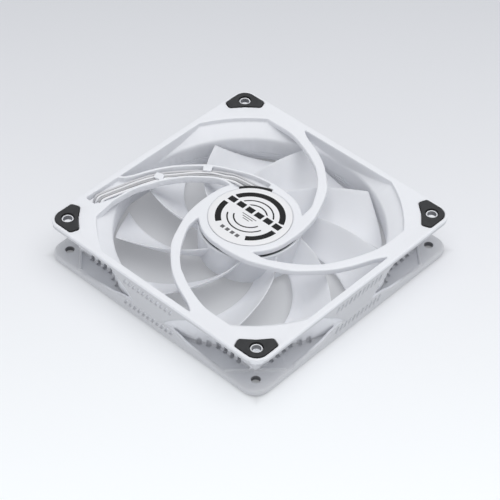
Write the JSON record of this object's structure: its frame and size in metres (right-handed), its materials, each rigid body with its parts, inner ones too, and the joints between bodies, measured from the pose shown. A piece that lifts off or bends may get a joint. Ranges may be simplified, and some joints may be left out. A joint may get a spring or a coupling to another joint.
{
  "type": "case fan",
  "caption": "Square case fan with a swept-blade impeller, curved stator arms that carry the wires to the hub, round label and rubber corner pads.",
  "frame": {"origin": "on the rotor's axis, in the plane of the intake-side pads' outer faces", "axes": "+Z along the rotor's axis towards the exhaust side with the stator arms and the label; +X and +Y along the square frame's sides"},
  "size_m": [0.14, 0.14, 0.025],
  "materials": {
    "frame_plastic": "fine satin, injection moulded",
    "blade_plastic": "semi-gloss, injection moulded",
    "pad_rubber": "matt",
    "label_film": "printed film",
    "wire_sleeve": "satin insulation",
    "socket_plastic": "satin",
    "brass": "machined",
    "contact_metal": "plated",
    "shaft_steel": "ground",
    "yoke_steel": "zinc plated",
    "lamination": "stacked sheet",
    "ferrite": "bonded magnet",
    "copper_wire": "enamelled wire",
    "nylon": "moulded",
    "board": "solder mask",
    "chip": "moulded package",
    "cover_black": "satin"
  },
  "bodies": {
    "housing": {"frame": "frame_plastic", "label_disc": "label_film", "bearing_tube": "brass", "bearing_sleeve": "brass", "thrust_pad": "nylon", "oil_seal": "nylon", "stator_core": "lamination", "bobbin_upper": "nylon", "bobbin_lower": "nylon", "circuit_board": "board", "driver_chip": "chip", "hall_sensor": "chip", "lead_socket": "socket_plastic", "slot_cover": "cover_black", "rear_pad_1": "pad_rubber", "front_pad_1": "pad_rubber", "coil_1": "copper_wire", "wire_1": "wire_sleeve", "contact_pin_1": "contact_metal", "rear_pad_2": "pad_rubber", "front_pad_2": "pad_rubber", "coil_2": "copper_wire", "wire_2": "wire_sleeve", "contact_pin_2": "contact_metal", "rear_pad_3": "pad_rubber", "front_pad_3": "pad_rubber", "coil_3": "copper_wire", "wire_3": "wire_sleeve", "contact_pin_3": "contact_metal", "rear_pad_4": "pad_rubber", "front_pad_4": "pad_rubber", "coil_4": "copper_wire", "wire_4": "wire_sleeve", "contact_pin_4": "contact_metal"},
    "rotor": {"impeller": "blade_plastic", "rotor_yoke": "yoke_steel", "magnet_ring": "ferrite", "shaft": "shaft_steel", "shaft_boss": "brass", "shaft_clip": "shaft_steel"}
  },
  "joints": [
    {"name": "impeller_spin", "type": "hinge", "parent": "housing", "child": "rotor", "pos_m": [0, 0, 0], "axis": [0, 0, 1], "continuous": true}
  ]
}
